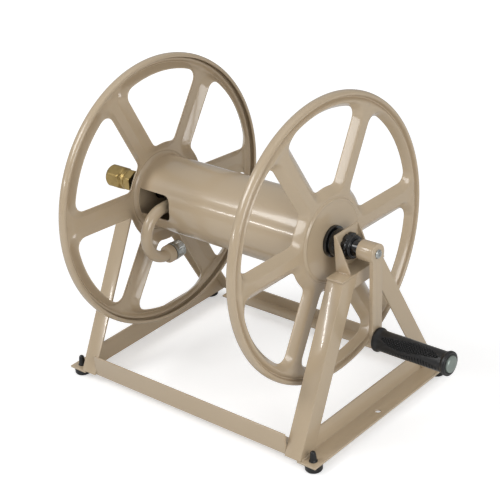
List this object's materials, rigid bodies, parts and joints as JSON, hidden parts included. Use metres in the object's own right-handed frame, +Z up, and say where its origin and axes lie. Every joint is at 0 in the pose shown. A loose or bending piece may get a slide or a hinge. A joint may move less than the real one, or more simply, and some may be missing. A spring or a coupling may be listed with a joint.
{
  "type": "garden hose reel",
  "caption": "Manual garden hose reel on a fixed steel stand: pressed spoked discs on a drum, crank with grip, gooseneck outlet and brass swivel inlet.",
  "frame": {"origin": "bottom centre of the bounding box, on the floor", "axes": "+X along the drum axis towards the crank, -Y towards the front rail, +Z up"},
  "size_m": [0.6374, 0.42, 0.48],
  "materials": {
    "paint": "gloss beige powder coat",
    "nylon": "moulded black",
    "rubber": "matt black",
    "axle_steel": "gloss black",
    "zinc_plate": "zinc plated",
    "brass": "satin"
  },
  "bodies": {
    "stand": {"rail_left": "paint", "rail_right": "paint", "rail_front": "paint", "rail_rear": "paint", "leg_front_left": "paint", "leg_rear_left": "paint", "leg_front_right": "paint", "leg_rear_right": "paint", "brace_left": "paint", "brace_right": "paint", "bracket_left": "paint", "bracket_right": "paint", "bushing_left": "nylon", "bushing_right": "nylon", "bushing_nut_left": "nylon", "bushing_nut_right": "nylon", "feet": "rubber"},
    "reel": {"disc_left": "paint", "disc_right": "paint", "drum": "paint", "axle_left": "axle_steel", "axle_right": "axle_steel", "supply_elbow": "zinc_plate", "gooseneck": "paint", "hose_connector": "zinc_plate", "connector_washer": "rubber", "crank": "paint", "crank_screw": "zinc_plate", "grip_spindle": "zinc_plate", "grip_cap": "zinc_plate", "swivel_body": "brass", "swivel_seal": "rubber"},
    "grip": {"grip": "rubber"},
    "inlet": {"swivel_inlet": "brass", "inlet_washer": "rubber"}
  },
  "joints": [
    {"name": "reel_spin", "type": "hinge", "parent": "stand", "child": "reel", "pos_m": [-0.04925, 0, 0.27], "axis": [1, 0, 0], "continuous": true},
    {"name": "grip_spin", "type": "hinge", "parent": "reel", "child": "grip", "pos_m": [0.25375, -0.01004, 0.14239], "axis": [1, 0, 0], "continuous": true},
    {"name": "inlet_swivel", "type": "hinge", "parent": "reel", "child": "inlet", "pos_m": [-0.29925, 0, 0.27], "axis": [1, 0, 0], "continuous": true}
  ]
}
